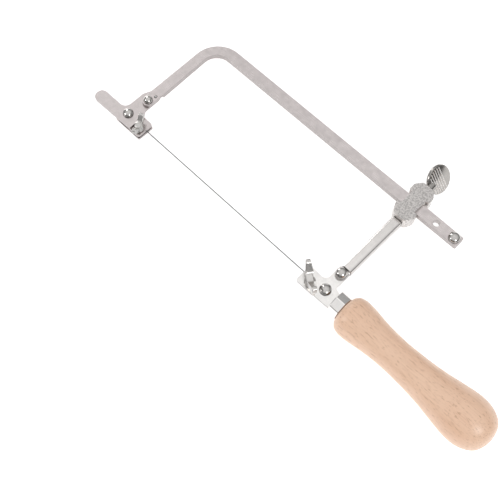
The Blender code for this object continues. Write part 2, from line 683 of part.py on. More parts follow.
def make_tang(parent):
    """Flat eye riveted under the plate, drawn out into a rod in the handle."""
    low = LOWER_PLATE_UNDERSIDE - GAP - PLATE_THICKNESS
    high = LOWER_PLATE_UNDERSIDE - GAP
    half = TANG_FLAT_WIDTH / 2
    rod_start = LOWER_PLATE_END_X + 0.5 * MM
    flat_end = FERRULE_X + FERRULE_LENGTH - NOSE_LENGTH - 2 * GAP
    tang = slab("handle_tang", box_corners(TANG_START_X, flat_end, HANDLE_Y - half,
                                           HANDLE_Y + half, 1.0 * MM), low, high, PARTS)
    spike = rod("tang_spike", (rod_start, HANDLE_Y, HANDLE_Z), (TANG_ROD_END_X, HANDLE_Y, HANDLE_Z),
                TANG_ROD_RADIUS, CUTTERS, end_radius=TANG_TIP_RADIUS)
    join(tang, spike)
    hole(tang, TANG_RIVET, SHANK_RADIUS + GAP, low - MM, high + 0.2 * MM)
    return finished(tang, parent, NICKEL)


def make_handle(parent):
    """Turned beech handle with a nose inside the ferrule and a blind bore."""
    wood_start = FERRULE_X + FERRULE_LENGTH + GAP
    length = HANDLE_END_X - wood_start
    nose_radius = FERRULE_BORE_RADIUS - GAP
    nose = FERRULE_X + FERRULE_LENGTH - NOSE_LENGTH - wood_start
    profile = [(0.0, length)]
    profile += [(radius * MM, share * length) for share, radius in reversed(HANDLE_PROFILE)]
    profile += [(nose_radius, 0.0), (nose_radius, nose), (0.0, nose)]
    handle = turned("handle", profile, PARTS, sides=FINE_SIDES)
    lay_down = Matrix.Rotation(math.pi / 2, 4, "Y")
    placed(handle, Matrix.Translation((wood_start, HANDLE_Y, HANDLE_Z)) @ lay_down)
    bore = rod("handle_bore", (wood_start - 2 * NOSE_LENGTH, HANDLE_Y, HANDLE_Z),
               (TANG_ROD_END_X + MM, HANDLE_Y, HANDLE_Z), TANG_BORE_RADIUS, CUTTERS)
    cut(handle, bore)
    return finished(handle, parent, BEECH)


def make_blade(parent):
    """Thin piercing blade between the two lips."""
    half = BLADE_DEPTH / 2
    blade = slab("saw_blade", box_corners(-BLADE_LENGTH / 2, BLADE_LENGTH / 2, -half, half),
                 BLADE_Z - BLADE_THICKNESS / 2, BLADE_Z + BLADE_THICKNESS / 2, PARTS)
    return finished(blade, parent, BLADE_STEEL)


def build_saw():
    """Make every piece under the empty of its own moving group."""
    datum = pivot("saw_datum", (0.0, 0.0, 0.0))
    grip = pivot("grip_group", (HANDLE_END_X, HANDLE_Y, HANDLE_Z))
    bow = pivot("bow_group", (0.0, SPINE_Y, 0.0))
    upper_jaw = pivot("upper_jaw_axis", (*UPPER_SCREW, JAW_TOP))
    upper_screw = pivot("upper_wing_axis", (*UPPER_SCREW, LOWER_PLATE_TOP))
    lower_jaw = pivot("lower_jaw_axis", (*LOWER_SCREW, JAW_TOP))
    lower_screw = pivot("lower_wing_axis", (*LOWER_SCREW, LOWER_PLATE_TOP))
    shoe = pivot("shoe_axis", (ARM_X, SPINE_Y, 0.0))
    thumb = pivot("thumbscrew_axis", (ARM_X, HOUSING_HIGH_Y, 0.0))
    blade = pivot("blade_group", (0.0, 0.0, BLADE_Z))

    make_bow(bow)
    half_bar = BAR_THICKNESS / 2
    make_rivet("bow_stop_rivet", (STOP_X, SPINE_Y), half_bar, -half_bar, BIG_DOME_RADIUS, bow)
    make_upper_plate(bow)
    make_rivet("upper_plate_rivet", UPPER_RIVET, half_bar, UPPER_PLATE_UNDERSIDE,
               SMALL_DOME_RADIUS, bow)
    make_rivet("tab_rivet", TAB_RIVET, UPPER_PLATE_TOP, UPPER_PLATE_UNDERSIDE, TAB_DOME_RADIUS,
               bow)
    make_pin(bow)
    jaw_rear = UPPER_NECK_LEFT - 1.4 * MM
    make_jaw("upper_jaw", UPPER_SCREW,
             box_corners(jaw_rear, -LIP_X, LIP_LOW_Y, LIP_HIGH_Y, 0.8 * MM),
             ((jaw_rear, jaw_rear + 1.5 * MM),
              (LIP_LOW_Y + 0.8 * MM, -BLADE_DEPTH / 2 - BLADE_TRAVEL_CLEARANCE),
              UPPER_PLATE_UNDERSIDE - GAP), upper_jaw)
    make_wing_screw("upper_wing_screw", UPPER_SCREW, UPPER_WING_ANGLE, UPPER_WING_SPAN,
                    UPPER_HUB_RADIUS, upper_screw)

    make_lower_plate(grip)
    jaw_end = TANG_START_X - 2 * GAP
    make_jaw("lower_jaw", LOWER_SCREW,
             box_corners(LIP_X, jaw_end, LIP_LOW_Y, LIP_HIGH_Y - 0.6 * MM, 0.8 * MM),
             ((jaw_end - 1.5 * MM, jaw_end), (LIP_LOW_Y + 0.8 * MM, LIP_HIGH_Y - 1.4 * MM),
              LOWER_PLATE_UNDERSIDE - GAP), lower_jaw)
    make_wing_screw("lower_wing_screw", LOWER_SCREW, LOWER_WING_ANGLE, LOWER_WING_SPAN,
                    LOWER_HUB_RADIUS, lower_screw)
    tang_low = LOWER_PLATE_UNDERSIDE - GAP - PLATE_THICKNESS
    make_rivet("tang_rivet", TANG_RIVET, LOWER_PLATE_TOP, tang_low, BIG_DOME_RADIUS, grip)
    make_rivet("arm_rivet", ARM_RIVET, TONGUE_TOP, LOWER_PLATE_UNDERSIDE, ARM_DOME_RADIUS,
               grip)
    make_arm(grip)
    make_tongue(grip)
    make_housing(grip)
    make_ferrule(grip)
    make_tang(grip)
    make_handle(grip)

    make_shoe(shoe)
    make_thumbscrew(thumb)
    make_blade(blade)

    for group in (grip, bow, upper_jaw, upper_screw, lower_jaw, lower_screw, shoe, thumb, blade):
        group.parent = datum
    datum.location = DATUM
    bpy.context.view_layer.update()


clear_scene()
PARTS = make_collection("coping_saw")
CUTTERS = make_collection("coping_saw_cutters")
build_saw()
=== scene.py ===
"""Looks of an adjustable saw frame: bent bar bow, screw clamps, slider and turned handle."""
import logging
import math
from abc import ABC, abstractmethod
from dataclasses import dataclass
from enum import Enum
from typing import Any, Mapping, Optional, Sequence, Union

import bmesh
import bpy
from mathutils import Matrix, Vector


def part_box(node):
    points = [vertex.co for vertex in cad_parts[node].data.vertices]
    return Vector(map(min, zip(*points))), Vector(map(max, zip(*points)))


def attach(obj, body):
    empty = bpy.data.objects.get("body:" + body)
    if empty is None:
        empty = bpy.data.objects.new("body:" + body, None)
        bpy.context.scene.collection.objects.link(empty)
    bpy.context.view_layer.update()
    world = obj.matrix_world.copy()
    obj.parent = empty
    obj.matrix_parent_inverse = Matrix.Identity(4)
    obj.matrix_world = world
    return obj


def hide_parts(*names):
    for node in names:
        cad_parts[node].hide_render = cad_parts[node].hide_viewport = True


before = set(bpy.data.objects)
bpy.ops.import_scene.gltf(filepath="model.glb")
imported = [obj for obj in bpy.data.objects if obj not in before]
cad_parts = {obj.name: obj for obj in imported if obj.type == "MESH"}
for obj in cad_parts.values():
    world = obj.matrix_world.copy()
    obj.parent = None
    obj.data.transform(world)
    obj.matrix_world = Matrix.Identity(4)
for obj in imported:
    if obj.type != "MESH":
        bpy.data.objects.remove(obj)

LOG = logging.getLogger("saw_frame")
MM = 0.001
Corner = tuple[float, float, float]
Point2 = tuple[float, float]

# Places and sizes that several pieces share, in millimetres on the saw's axes.
SEAT_GAP = 0.3
UPPER_RIVET = (-74.6, 12.9)
UPPER_PIN = (-73.2, 17.6)
TANG_RIVET = (77.9, -0.2)
ARM_RIVET = (77.8, 12.3)
STOP_X = 107.9
RIVET_HOLE = 1.8
PIN_HOLE = 1.0
SCREW_HOLE = 2.2
RIVET_SHANK = 1.5
DOME_HEIGHT = 2.3
CAST_HALF_SPAN = 9.8
PLATE_THICKNESS = 1.6


class Port:
    """One output socket that takes part in expressions."""

    def __init__(self, graph: "Graph", socket: bpy.types.NodeSocket) -> None:
        """Keep the socket and the graph it belongs to."""
        self.graph = graph
        self.socket = socket

    def __add__(self, other: "Operand") -> "Port":
        """Add."""
        return self.graph.maths("ADD", self, other)

    __radd__ = __add__

    def __mul__(self, other: "Operand") -> "Port":
        """Multiply."""
        return self.graph.maths("MULTIPLY", self, other)

    __rmul__ = __mul__

    def __sub__(self, other: "Operand") -> "Port":
        """Subtract."""
        return self.graph.maths("SUBTRACT", self, other)

    def __rsub__(self, other: "Operand") -> "Port":
        """Subtract this from a number."""
        return self.graph.maths("SUBTRACT", other, self)

    def __pow__(self, other: "Operand") -> "Port":
        """Raise to a power."""
        return self.graph.maths("POWER", self, other)


Operand = Union[Port, float]


class Graph:
    """A node tree that is written through one method for every node."""

    def __init__(self, tree: bpy.types.NodeTree) -> None:
        """Keep the tree."""
        self.tree = tree

    def node(self, kind: str, settings: Optional[Mapping[str, Any]] = None,
             inputs: Optional[Mapping[Any, Any]] = None) -> bpy.types.Node:
        """Make a node.

        Args:
            kind: the node's type name.
            settings: its own settings, and the stops of a ramp, set first.
            inputs: values or ports, by socket name or index.

        Returns:
            The new node.
        """
        made = self.tree.nodes.new(kind)
        for key, value in (settings or {}).items():
            if key == "stops":
                self._fill_ramp(made, value)
            else:
                setattr(made, key, value)
        for key, value in (inputs or {}).items():
            if isinstance(value, Port):
                self.tree.links.new(value.socket, made.inputs[key])
            else:
                made.inputs[key].default_value = value
        return made

    @staticmethod
    def _fill_ramp(made: bpy.types.Node, stops: Sequence[tuple[float, float]]) -> None:
        """Give a ramp its (place, grey level) stops."""
        elements = made.color_ramp.elements
        while len(elements) < len(stops):
            elements.new(1.0)
        for element, (place, level) in zip(elements, stops):
            element.position = place
            element.color = (level, level, level, 1.0)

    def out(self, kind: str, settings: Optional[Mapping[str, Any]] = None,
            inputs: Optional[Mapping[Any, Any]] = None, output: Union[int, str] = 0) -> Port:
        """Make a node and return one of its outputs."""
        return Port(self, self.node(kind, settings, inputs).outputs[output])

    def maths(self, operation: str, first: Operand, second: Operand = 0.0) -> Port:
        """Return a Math node's result."""
        return self.out("ShaderNodeMath", {"operation": operation}, {0: first, 1: second})

    def ramp(self, value: Port, *stops: tuple[float, float]) -> Port:
        """Return a value passed through a ramp."""
        return self.out("ShaderNodeValToRGB", {"stops": stops}, {0: value})

    def mix(self, share: Operand, first: Any, second: Any) -> Port:
        """Return a mix of two colours."""
        return self.out("ShaderNodeMix", {"data_type": "RGBA"}, {0: share, 6: first, 7: second}, 2)

    def noise(self, stretch: tuple[float, float, float], detail: float = 3.0) -> Port:
        """Return noise on the object's own coordinates.

        Args:
            stretch: cycles per metre along each axis.
            detail: how many finer layers it has.

        Returns:
            The noise value.
        """
        place = self.out("ShaderNodeTexCoord", output="Object")
        turned = self.out("ShaderNodeMapping", None, {"Vector": place, "Scale": stretch})
        return self.out("ShaderNodeTexNoise", None,
                        {"Vector": turned, "Scale": 1.0, "Detail": detail})


def rgba(colour: tuple[float, float, float], share: float = 1.0) -> tuple[float, ...]:
    """Return a colour with full alpha, darkened to a share of itself."""
    return (*(channel * share for channel in colour), 1.0)


@dataclass(frozen=True)
class Finish(ABC):
    """A surface that can be put on a piece."""

    name: str
    slot: str
    colour: tuple[float, float, float]
    roughness: float

    def material(self) -> bpy.types.Material:
        """Make the material at its first use.

        Returns:
            The material of this finish.
        """
        found = bpy.data.materials.get(self.name)
        if found is None:
            found = bpy.data.materials.new(self.name)
            found.use_nodes = True
            shader = found.node_tree.nodes["Principled BSDF"]
            self.paint(Graph(found.node_tree), shader)
        return found

    @abstractmethod
    def paint(self, graph: Graph, shader: bpy.types.Node) -> None:
        """Write the nodes of the finish.

        Args:
            graph: the material's tree.
            shader: its Principled node.
        """

    @staticmethod
    def link(graph: Graph, port: Port, shader: bpy.types.Node, socket: str) -> None:
        """Feed one socket of the shader."""
        graph.tree.links.new(port.socket, shader.inputs[socket])


class Grain(Enum):
    """Direction of the drawing lines on a metal face, as cycles per metre."""

    ALONG_X = (70.0, 2600.0, 2600.0)
    ALONG_Y = (2600.0, 70.0, 2600.0)
    NONE = (900.0, 900.0, 900.0)


@dataclass(frozen=True)
class Nickel(Finish):
    """Nickel plate over steel, satin or bright, with painted shade that darkens its steep faces."""

    # Painted shade on steep faces: full where the normal's Z part is below STEEP, gone above LEVEL,
    # darkening towards SHADE of the colour.
    STEEP = 0.30
    LEVEL = 0.85
    SHADE = 0.38

    grain: Grain = Grain.NONE
    variation: float = 0.16
    relief: float = 0.05
    # Share of painted shade on the steep faces; nought leaves them unshaded.
    steep_shade: float = 0.0

    def paint(self, graph: Graph, shader: bpy.types.Node) -> None:
        """Drawing lines, faint handling marks, cloudy plate and painted shade on the steep faces.
        """
        lines = graph.noise(self.grain.value, 4.0)
        clouds = graph.noise((300.0, 300.0, 300.0), 6.0)
        shader.inputs["Metallic"].default_value = 1.0
        tint = graph.mix(graph.ramp(clouds, (0.35, 0.0), (0.7, 1.0)),
                         rgba(self.colour), rgba(self.colour, 1.0 - self.variation))
        # Painted shade: the more a face turns away from the piece's own Z axis, the more its colour
        # goes towards the darker copy.
        facing = graph.out("ShaderNodeTexCoord", output="Normal")
        parts = graph.node("ShaderNodeSeparateXYZ", None, {0: facing})
        level = graph.maths("ABSOLUTE", Port(graph, parts.outputs[2]))
        side = graph.ramp(level, (self.STEEP, self.steep_shade), (self.LEVEL, 0.0))
        tint = graph.mix(side, tint, rgba(self.colour, self.SHADE))
        self.link(graph, tint, shader, "Base Color")
        rough = self.roughness + (lines - 0.5) * self.variation + (clouds - 0.5) * self.variation
        self.link(graph, rough, shader, "Roughness")
        bump = graph.out("ShaderNodeBump", None, {"Strength": self.relief,
                                                  "Distance": 0.05 * MM, "Height": lines})
        self.link(graph, bump, shader, "Normal")


@dataclass(frozen=True)
class CastNickel(Finish):
    """Nickel plate over a fine-grained casting."""

    pitting: float = 0.60

    def paint(self, graph: Graph, shader: bpy.types.Node) -> None:
        """Speckles and shallow pits."""
        speckle = graph.noise((1150.0, 1150.0, 1150.0), 5.0)
        blotch = graph.noise((420.0, 420.0, 420.0), 3.0)
        shader.inputs["Metallic"].default_value = 1.0
        pits = graph.ramp(speckle, (0.42, 1.0), (0.56, 0.0))
        self.link(graph, graph.mix(pits * self.pitting, rgba(self.colour),
                                   rgba(self.colour, 0.45)), shader, "Base Color")
        self.link(graph, self.roughness + (blotch - 0.5) * 0.25, shader, "Roughness")
        bump = graph.out("ShaderNodeBump", None, {"Strength": 0.75, "Distance": 0.18 * MM,
                                                  "Height": speckle * 0.7 + blotch * 0.6})
        self.link(graph, bump, shader, "Normal")


@dataclass(frozen=True)
class DarkSteel(Finish):
    """Hardened steel with a dull scale."""

    def paint(self, graph: Graph, shader: bpy.types.Node) -> None:
        """Uneven dark scale."""
        scale = graph.noise((300.0, 2500.0, 2500.0), 4.0)
        shader.inputs["Metallic"].default_value = 0.9
        self.link(graph, graph.mix(scale, rgba(self.colour, 0.75), rgba(self.colour, 1.25)),
                  shader, "Base Color")
        self.link(graph, self.roughness + (scale - 0.5) * 0.2, shader, "Roughness")


@dataclass(frozen=True)
class Beech(Finish):
    """Turned pale beech with its short ray flecks, under a thin lacquer."""

    fleck: tuple[float, float, float] = (0.43, 0.235, 0.13)
    warm: tuple[float, float, float] = (0.76, 0.48, 0.325)

    def paint(self, graph: Graph, shader: bpy.types.Node) -> None:
        """Growth bands, long pores and short flecks along the handle."""
        bands = graph.ramp(graph.noise((9.0, 130.0, 95.0), 3.0), (0.38, 0.0), (0.66, 1.0))
        pores = graph.ramp(graph.noise((60.0, 1700.0, 1700.0), 4.0), (0.50, 0.0), (0.72, 1.0))
        flecks = graph.ramp(graph.noise((330.0, 1500.0, 1500.0), 2.0), (0.60, 0.0), (0.68, 1.0))
        wood = graph.mix(bands * 0.55, rgba(self.colour), rgba(self.warm))
        wood = graph.mix(pores * 0.26, wood, rgba(self.fleck))
        wood = graph.mix(flecks * 0.50, wood, rgba(self.fleck))
        self.link(graph, wood, shader, "Base Color")
        self.link(graph, self.roughness + flecks * 0.10 - bands * 0.05, shader, "Roughness")
        shader.inputs["Coat Weight"].default_value = 0.18
        shader.inputs["Coat Roughness"].default_value = 0.22
        bump = graph.out("ShaderNodeBump", None, {"Strength": 0.25, "Distance": 0.06 * MM,
                                                  "Height": 1.0 - flecks * 0.6 - pores * 0.4})
        self.link(graph, bump, shader, "Normal")


# Each nickel finish below with a share for its steep faces paints shade onto them; the plain steel
# and the ribs have none.
WARM_GREY = (0.76, 0.70, 0.69)
SPINE_PLATE = Nickel("nickel_spine", "nickel_bar", WARM_GREY, 0.30, Grain.ALONG_X, steep_shade=0.75)
ARM_PLATE = Nickel("nickel_arm", "nickel_bar", (0.78, 0.75, 0.73), 0.20, Grain.ALONG_Y, 0.06,
                   steep_shade=0.6)
CLAMP_PLATE = Nickel("nickel_clamp", "nickel_bar", WARM_GREY, 0.24, Grain.NONE, 0.08,
                     steep_shade=0.75)
# The rivets' polished nickel is darker than the same nickel on the lower plate and ferrule: painted
# shade on the domes.
BRIGHT = Nickel("nickel_bright", "nickel_polished", (0.64, 0.62, 0.60), 0.08, Grain.NONE, 0.04,
                steep_shade=0.8)
# The lower plate's polished nickel is lightened well above the rivets' copy of the same nickel:
# painted highlight.
BRIGHT_PLATE = Nickel("nickel_bright_plate", "nickel_polished", (0.87, 0.85, 0.83), 0.20,
                      Grain.NONE, 0.08, steep_shade=0.85)
# The ferrule's polished nickel is lightened further still, with little steep-face shade: painted
# highlight.
FERRULE_PLATE = Nickel("nickel_ferrule", "nickel_polished", (0.94, 0.92, 0.90), 0.14,
                       Grain.NONE, 0.06, steep_shade=0.25)
CASTING = CastNickel("nickel_casting", "nickel_cast", (0.72, 0.69, 0.67), 0.34)
SCREW_CASTING = Nickel("nickel_screw", "nickel_cast", (0.68, 0.66, 0.64), 0.20, Grain.NONE, 0.08,
                       0.10, 0.7)
# The thumbscrew's head takes a darkened copy of the cast nickel (painted shade), and its ribs a
# lightened copy (painted highlight).
SHADED_THUMB_CASTING = Nickel("nickel_thumb_painted_shade", "nickel_cast", (0.44, 0.42, 0.40), 0.18, Grain.NONE, 0.08,
                       0.10, 0.4)
HIGHLIGHT_RIB_CASTING = Nickel("nickel_rib_painted_highlight", "nickel_cast", (0.84, 0.82, 0.80), 0.20, Grain.NONE, 0.08)
PLAIN = Nickel("plain_steel_ground", "plain_steel", (0.55, 0.54, 0.53), 0.32, Grain.NONE)
BLADE = DarkSteel("dark_blade_steel", "blade_steel", (0.30, 0.30, 0.30), 0.38)
HANDLE_WOOD = Beech("pale_beech", "beech", (0.84, 0.575, 0.415), 0.38)


class Bench:
    """Mesh tools. Shapes are in millimetres on the saw's own axes until they are published."""

    ARC_STEP = math.radians(7.5)

    @staticmethod
    def wrap(name: str, mesh: bpy.types.Mesh) -> bpy.types.Object:
        """Return a linked object that holds a mesh."""
        shape = bpy.data.objects.new(name, mesh)
        bpy.context.scene.collection.objects.link(shape)
        return shape

    @classmethod
    def outline(cls, corners: Sequence[Corner]) -> list[Point2]:
        """Round the corners of an outline.

        Args:
            corners: (x, y, radius) of each corner, in order.

        Returns:
            The points of the closed outline.
        """
        points: list[Point2] = []
        for index, (x, y, radius) in enumerate(corners):
            corner = Vector((x, y))
            if radius == 0:
                points.append((x, y))
                continue
            before = (Vector(corners[index - 1][:2]) - corner).normalized()
            after = (Vector(corners[(index + 1) % len(corners)][:2]) - corner).normalized()
            half = before.angle(after) / 2
            centre = corner + (before + after).normalized() * (radius / math.sin(half))
            start = corner + before * (radius / math.tan(half)) - centre
            sweep = math.pi - 2 * half
            if before.x * after.y - before.y * after.x > 0:
                sweep = -sweep
            steps = max(2, math.ceil(abs(sweep) / cls.ARC_STEP))
            for step in range(steps + 1):
                spot = centre + Matrix.Rotation(sweep * step / steps, 2) @ start
                points.append((spot.x, spot.y))
        return points

    @classmethod
    def prism(cls, name: str, corners: Sequence[Corner], low: float, high: float,
              ) -> bpy.types.Object:
        """Return a closed plate with this outline between two levels."""
        points = cls.outline(corners)
        shape = bmesh.new()
        rings = [[shape.verts.new((x, y, level)) for x, y in points] for level in (low, high)]
        shape.faces.new(rings[0])
        shape.faces.new(rings[1])
        count = len(points)
        for index in range(count):
            after = (index + 1) % count
            shape.faces.new((rings[0][index], rings[0][after], rings[1][after], rings[1][index]))
        bmesh.ops.remove_doubles(shape, verts=shape.verts, dist=0.002)
        bmesh.ops.recalc_face_normals(shape, faces=shape.faces)
        mesh = bpy.data.meshes.new(name)
        shape.to_mesh(mesh)
        shape.free()
        return cls.wrap(name, mesh)

    @classmethod
    def box(cls, x: Point2, y: Point2, z: Point2) -> bpy.types.Object:
        """Return a block for cutting."""
        return cls.prism("block", [(x[0], y[0], 0), (x[1], y[0], 0), (x[1], y[1], 0),
                                   (x[0], y[1], 0)], *z)

    @classmethod
    def lathe(cls, name: str, profile: Sequence[Point2], sides: int) -> bpy.types.Object:
        """Return a shape turned about Z.

        Args:
            name: the new object's name.
            profile: (radius, height) from one pole to the other.
            sides: faces in a full turn.

        Returns:
            The closed shape.
        """
        shape = bmesh.new()
        rings = []
        for radius, height in profile:
            count = 1 if radius == 0 else sides
            rings.append([shape.verts.new((radius * math.cos(2 * math.pi * side / sides),
                                           radius * math.sin(2 * math.pi * side / sides), height))
                          for side in range(count)])
        for first, second in zip(rings, rings[1:]):
            for side in range(sides):
                after = (side + 1) % sides
                corners = [first[side % len(first)], first[after % len(first)],
                           second[after % len(second)], second[side % len(second)]]
                shape.faces.new(list(dict.fromkeys(corners)))
        bmesh.ops.recalc_face_normals(shape, faces=shape.faces)
        mesh = bpy.data.meshes.new(name)
        shape.to_mesh(mesh)
        shape.free()
        return cls.wrap(name, mesh)

    @classmethod
    def drill(cls, place: Point2, radius: float, low: float = -20.0, high: float = 20.0,
              ) -> bpy.types.Object:
        """Return a round cutter along Z."""
        tool = cls.lathe("drill", [(0, high), (radius, high), (radius, low), (0, low)], 40)
        return cls.move(tool, Matrix.Translation((*place, 0.0)))

    @staticmethod
    def move(shape: bpy.types.Object, matrix: Matrix) -> bpy.types.Object:
        """Move a shape's mesh."""
        shape.data.transform(matrix)
        return shape

    @staticmethod
    def bake(shape: bpy.types.Object) -> bpy.types.Object:
        """Apply the modifiers of a shape.

        Returns:
            The same object with its new mesh.
        """
        bpy.context.view_layer.update()
        evaluated = shape.evaluated_get(bpy.context.evaluated_depsgraph_get())
        mesh = bpy.data.meshes.new_from_object(evaluated)
        shape.modifiers.clear()
        shape.data = mesh
        return shape

    @classmethod
    def combine(cls, shape: bpy.types.Object, tool: bpy.types.Object, operation: str,
                ) -> bpy.types.Object:
        """Cut with, or join, another closed shape.

        Args:
            shape: the shape that changes.
            tool: the other shape, which is then removed.
            operation: DIFFERENCE or UNION.

        Returns:
            The changed shape.
        """
        change = shape.modifiers.new(operation, "BOOLEAN")
        change.operation = operation
        change.object = tool
        change.solver = "EXACT"
        cls.bake(shape)
        bpy.data.objects.remove(tool, do_unlink=True)
        return shape

    @classmethod
    def cut(cls, shape: bpy.types.Object, tool: bpy.types.Object) -> bpy.types.Object:
        """Cut a tool away."""
        return cls.combine(shape, tool, "DIFFERENCE")

    @classmethod
    def join(cls, shape: bpy.types.Object, tool: bpy.types.Object) -> bpy.types.Object:
        """Join a tool on."""
        return cls.combine(shape, tool, "UNION")

    @classmethod
    def round_edges(cls, shape: bpy.types.Object, width: float, segments: int = 3,
                    ) -> bpy.types.Object:
        """Round the sharp edges and keep the flats flat.

        Args:
            shape: the shape that changes.
            width: how far the rounding reaches from each sharp corner line.
            segments: faces across the rounding.

        Returns:
            The changed shape.
        """
        bevel = shape.modifiers.new("Rounded edges", "BEVEL")
        bevel.width = width
        bevel.segments = segments
        bevel.limit_method = "ANGLE"
        bevel.angle_limit = math.radians(40.0)
        cls.bake(shape)
        shape.data.shade_smooth()
        normals = shape.modifiers.new("Flat faces", "WEIGHTED_NORMAL")
        normals.weight = 100
        return cls.bake(shape)

    @classmethod
    def soften(cls, shape: bpy.types.Object, grid: float, passes: int) -> bpy.types.Object:
        """Melt a shape into one smooth casting.

        Args:
            shape: the shape that changes.
            grid: size of the grid it is rebuilt on.
            passes: rounds of smoothing.

        Returns:
            The changed shape.
        """
        remesh = shape.modifiers.new("Casting", "REMESH")
        remesh.mode = "VOXEL"
        remesh.voxel_size = grid
        smooth = shape.modifiers.new("Smoothing", "SMOOTH")
        smooth.iterations = passes
        cls.bake(shape)
        shape.data.shade_smooth()
        return shape


class Repeat:
    """A Geometry Nodes tree that makes one kind of repeated detail."""

    def __init__(self, name: str, finish: Finish, inputs: Mapping[str, tuple[str, Any]]) -> None:
        """Open the tree.

        Args:
            name: the tree's name.
            finish: what the details are made of.
            inputs: socket type and value of each named input.
        """
        self.tree = bpy.data.node_groups.new(name, "GeometryNodeTree")
        self.finish = finish
        self.values = dict(inputs)
        face = self.tree.interface
        face.new_socket("Geometry", in_out="INPUT", socket_type="NodeSocketGeometry")
        self.sockets = {key: face.new_socket(key, in_out="INPUT", socket_type=kind).identifier
                        for key, (kind, _) in inputs.items()}
        face.new_socket("Geometry", in_out="OUTPUT", socket_type="NodeSocketGeometry")
        self.graph = Graph(self.tree)
        self.entry = self.graph.node("NodeGroupInput")

    def __getitem__(self, key: str) -> Port:
        """Return a named input."""
        return Port(self.graph, self.entry.outputs[key])

    def close(self, geometry: Port) -> None:
        """End the tree in real meshes with their material."""
        graph = self.graph
        real = graph.out("GeometryNodeRealizeInstances", None, {"Geometry": geometry})
        coated = graph.out("GeometryNodeSetMaterial", None,
                           {"Geometry": real, "Material": self.finish.material()})
        graph.node("NodeGroupOutput", None, {0: coated})

    def grow(self, name: str, seeds: bpy.types.Mesh) -> bpy.types.Object:
        """Run the tree on a mesh.

        Args:
            name: the new object's name.
            seeds: the mesh that the tree starts from.

        Returns:
            The plain mesh that it makes.
        """
        shape = Bench.wrap(name, seeds)
        change = shape.modifiers.new("Repeat", "NODES")
        change.node_group = self.tree
        for key, (_, value) in self.values.items():
            change[self.sockets[key]] = value
        return Bench.bake(shape)


@dataclass(frozen=True)
class Datum:
    """Where the saw's own axes lie in the shared frame, read from the blade."""

    blade_drop: float = 4.1

    def matrix(self) -> Matrix:
        """Return the step from millimetres on the saw's axes to the shared frame."""
        low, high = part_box("saw_blade")
        origin = (low + high) / 2 + Vector((0.0, 0.0, self.blade_drop * MM))
        return Matrix.Translation(origin) @ Matrix.Scale(MM, 4)


class Assembly(ABC):
    """A group of pieces that are made and dressed together."""

    datum = Datum()

    @abstractmethod
    def build(self) -> None:
        """Make every piece of the group."""

    def publish(self, shape: bpy.types.Object, name: str, finish: Finish, body: str,
                *nodes: str) -> bpy.types.Object:
        """Put a piece in the shared frame on its body.

        Args:
            shape: the piece, in millimetres on the saw's axes.
            name: its final name.
            finish: its surface.
            body: the moving group that carries it.
            nodes: the plain parts that it stands for.

        Returns:
            The finished piece.
        """
        shape.name = name
        shape.data.name = name
        shape.data.transform(self.datum.matrix())
        shape.data.materials.clear()
        shape.data.materials.append(finish.material())
        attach(shape, body)
        if nodes:
            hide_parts(*nodes)
        LOG.info("%s: %d faces, on %s", name, len(shape.data.polygons), body)
        return shape

    @staticmethod
    def dress(node: str, finish: Finish) -> None:
        """Give a part that is kept as it is its surface.

        Args:
            node: the part's name.
            finish: its surface.
        """
        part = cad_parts[node]
        for place in part.material_slots:
            place.material = finish.material()
        LOG.info("%s: kept, dressed as %s", node, finish.name)


class Rivets:
    """Domed rivets with their shanks, all made by one tree."""

    def __init__(self) -> None:
        """Write the tree."""
        # The domes take the darkened copy of the polished nickel: painted shade.
        self.tree = Repeat("domed_rivets", BRIGHT, {"Facets": ("NodeSocketInt", 48),
                                                    "Rings": ("NodeSocketInt", 28)})
        graph = self.tree.graph
        ball = graph.out("GeometryNodeMeshUVSphere", None,
                         {"Segments": self.tree["Facets"], "Rings": self.tree["Rings"],
                          "Radius": 1.0})
        spot = graph.out("GeometryNodeInputPosition")
        parts = graph.node("ShaderNodeSeparateXYZ", None, {0: spot})
        level = graph.maths("MAXIMUM", Port(graph, parts.outputs[2]), 0.0)
        flat = graph.out("ShaderNodeCombineXYZ", None, {0: Port(graph, parts.outputs[0]),
                                                        1: Port(graph, parts.outputs[1]),
                                                        2: level})
        dome = graph.out("GeometryNodeSetPosition", None, {"Geometry": ball, "Position": flat})
        rod = graph.out("GeometryNodeMeshCylinder", None, {"Vertices": self.tree["Facets"],
                                                           "Radius": 1.0, "Depth": 1.0})
        hung = graph.out("GeometryNodeTransform", None,
                         {"Geometry": rod, "Translation": (0.0, 0.0, -0.5)})
        sets = []
        for body, attribute in ((dome, "dome"), (hung, "shank")):
            size = graph.out("GeometryNodeInputNamedAttribute", {"data_type": "FLOAT_VECTOR"},
                             {"Name": attribute})
            sets.append(graph.out("GeometryNodeInstanceOnPoints", None,
                                  {"Points": self.tree["Geometry"], "Instance": body,
                                   "Scale": size}))
        both = graph.node("GeometryNodeJoinGeometry")
        for made in sets:
            graph.tree.links.new(made.socket, both.inputs[0])
        self.tree.close(Port(graph, both.outputs[0]))

    def make(self, name: str, seat: Vector, dome: Point2, shank: Point2) -> bpy.types.Object:
        """Make one rivet.

        Args:
            name: the new object's name.
            seat: the middle of the underside of its dome.
            dome: radius and height of the dome.
            shank: radius and length of the shank.

        Returns:
            The rivet.
        """
        seeds = bpy.data.meshes.new(name + "_seat")
        seeds.from_pydata([seat], [], [])
        for key, (radius, length) in (("dome", dome), ("shank", shank)):
            layer = seeds.attributes.new(key, "FLOAT_VECTOR", "POINT")
            layer.data[0].vector = (radius, radius, length)
        shape = self.tree.grow(name, seeds)
        shape.data.shade_smooth()
        shape.data.set_sharp_from_angle(angle=math.radians(40.0))
        return shape


